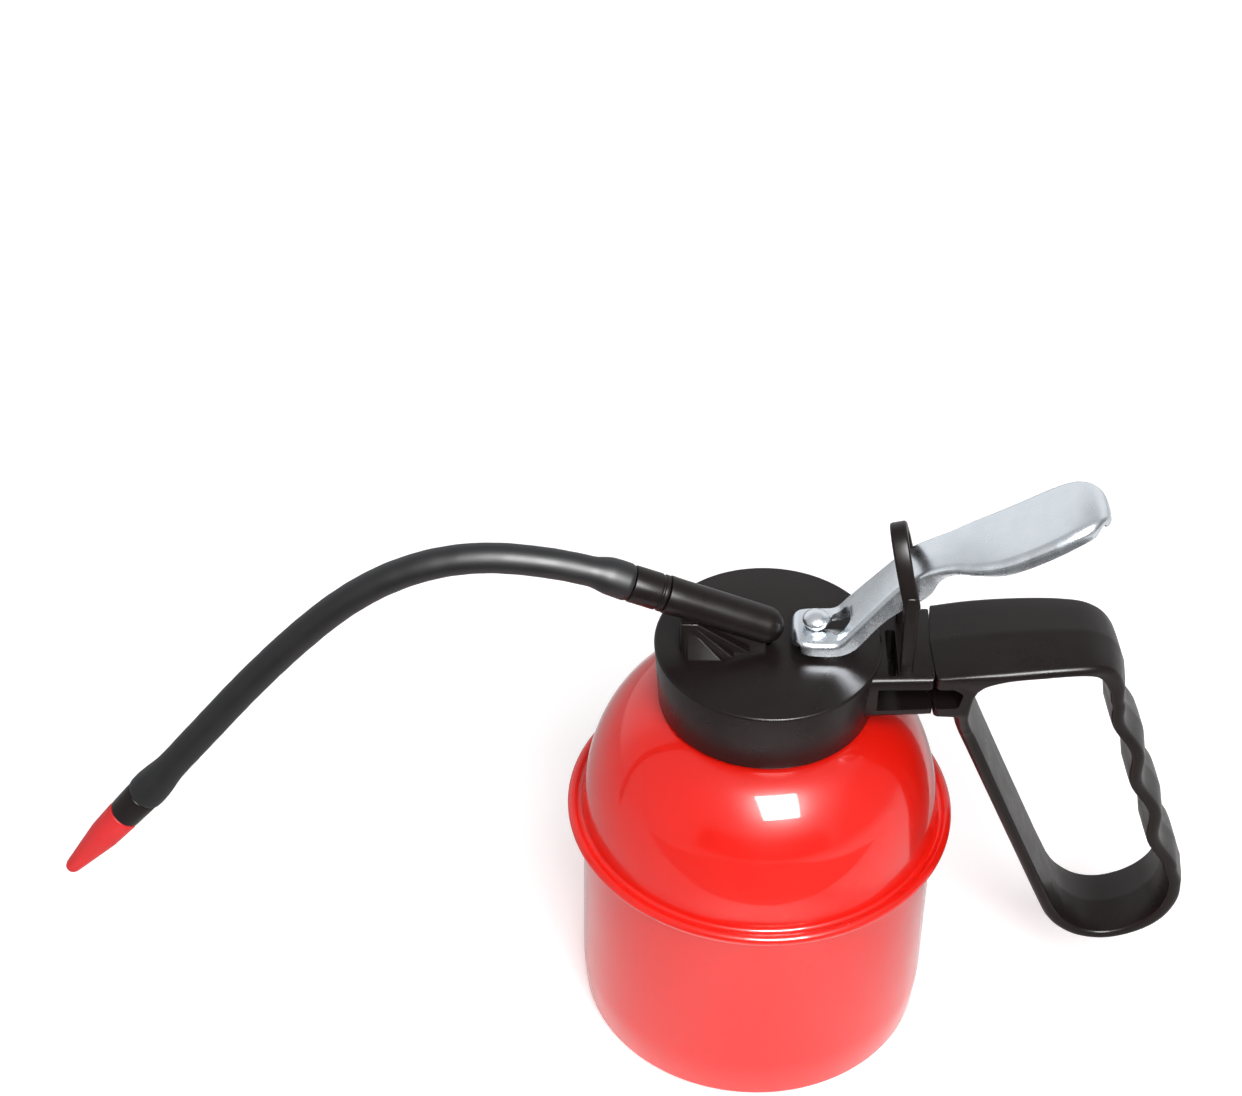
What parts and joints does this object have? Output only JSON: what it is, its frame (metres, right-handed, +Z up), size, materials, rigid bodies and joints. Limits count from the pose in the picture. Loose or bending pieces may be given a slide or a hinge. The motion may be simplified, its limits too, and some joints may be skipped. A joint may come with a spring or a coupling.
{
  "type": "thumb-lever pump oil can",
  "caption": "Round metal oil can with a moulded pump head, D-loop handle, thumb lever, vertical lift pump and a bent spout tube with a pull-off tip.",
  "frame": {"origin": "middle of the flat base, on the can's axis", "axes": "+Z up the can's axis, +X towards the handle, -X along the spout; the XZ plane is the plane of symmetry"},
  "size_m": [0.2799, 0.095, 0.1585],
  "materials": {
    "red_paint": "glossy enamel",
    "black_plastic": "semi-gloss moulded",
    "tube_plastic": "satin extruded",
    "red_plastic": "satin moulded",
    "zinc": "bright zinc plate",
    "steel": "bright",
    "brass": "turned",
    "rubber": "matt",
    "nylon": "natural"
  },
  "bodies": {
    "can": {"can_body": "red_paint", "can_dome": "red_paint", "neck_ring": "steel"},
    "seal": {"neck_gasket": "rubber"},
    "head": {"pump_head": "black_plastic", "handle": "black_plastic", "fulcrum_pin": "steel", "pump_cylinder": "nylon", "rod_bush": "nylon", "rod_seal": "rubber", "return_spring": "steel", "foot_valve_body": "nylon", "ball_stop": "brass", "suction_tube": "nylon", "strainer": "brass", "outlet_valve_seat": "brass", "outlet_valve_spring": "steel", "spout_connector": "black_plastic", "spout_tube": "tube_plastic", "tip_nozzle": "black_plastic"},
    "thumb_lever": {"lever": "zinc"},
    "plunger": {"plunger_rod": "zinc", "piston_washer": "steel", "piston": "brass", "piston_cup": "rubber", "piston_nut": "steel"},
    "foot_ball": {"foot_valve_ball": "steel"},
    "outlet_ball": {"outlet_valve_ball": "steel"},
    "tip": {"tip_cap": "red_plastic"}
  },
  "joints": [
    {"name": "head_lift", "type": "slide", "parent": "can", "child": "seal", "axis": [0, 0, 1], "range_m": [0, 0.0075]},
    {"name": "head_turn", "type": "hinge", "parent": "seal", "child": "head", "pos_m": [0, 0, 0.1], "axis": [0, 0, 1], "range_deg": [0, 900]},
    {"name": "lever_press", "type": "hinge", "parent": "head", "child": "thumb_lever", "pos_m": [0.0318, 0, 0.1352], "axis": [0, 1, 0], "range_deg": [0, 22], "stiffness_Nm_per_rad": 0.22, "springref_deg": -28.65},
    {"name": "plunger_slide", "type": "slide", "parent": "head", "child": "plunger", "axis": [0, 0, 1], "range_m": [0, 0.0075], "deforming": ["return_spring"]},
    {"name": "foot_ball_lift", "type": "slide", "parent": "head", "child": "foot_ball", "axis": [0, 0, 1], "range_m": [0, 0.0009]},
    {"name": "outlet_ball_lift", "type": "slide", "parent": "head", "child": "outlet_ball", "axis": [-0.9317, 0, 0.3633], "range_m": [0, 0.0008], "stiffness_N_per_m": 20, "springref_m": -0.002},
    {"name": "tip_pull", "type": "slide", "parent": "head", "child": "tip", "axis": [-0.6173, 0, -0.7867], "range_m": [0, 0.016]}
  ],
  "couplings": [
    {"joint": "head_turn", "follows": "head_lift", "rad_per_m": 2094.4},
    {"joint": "plunger_slide", "follows": "lever_press", "m_per_rad": 0.0192}
  ]
}
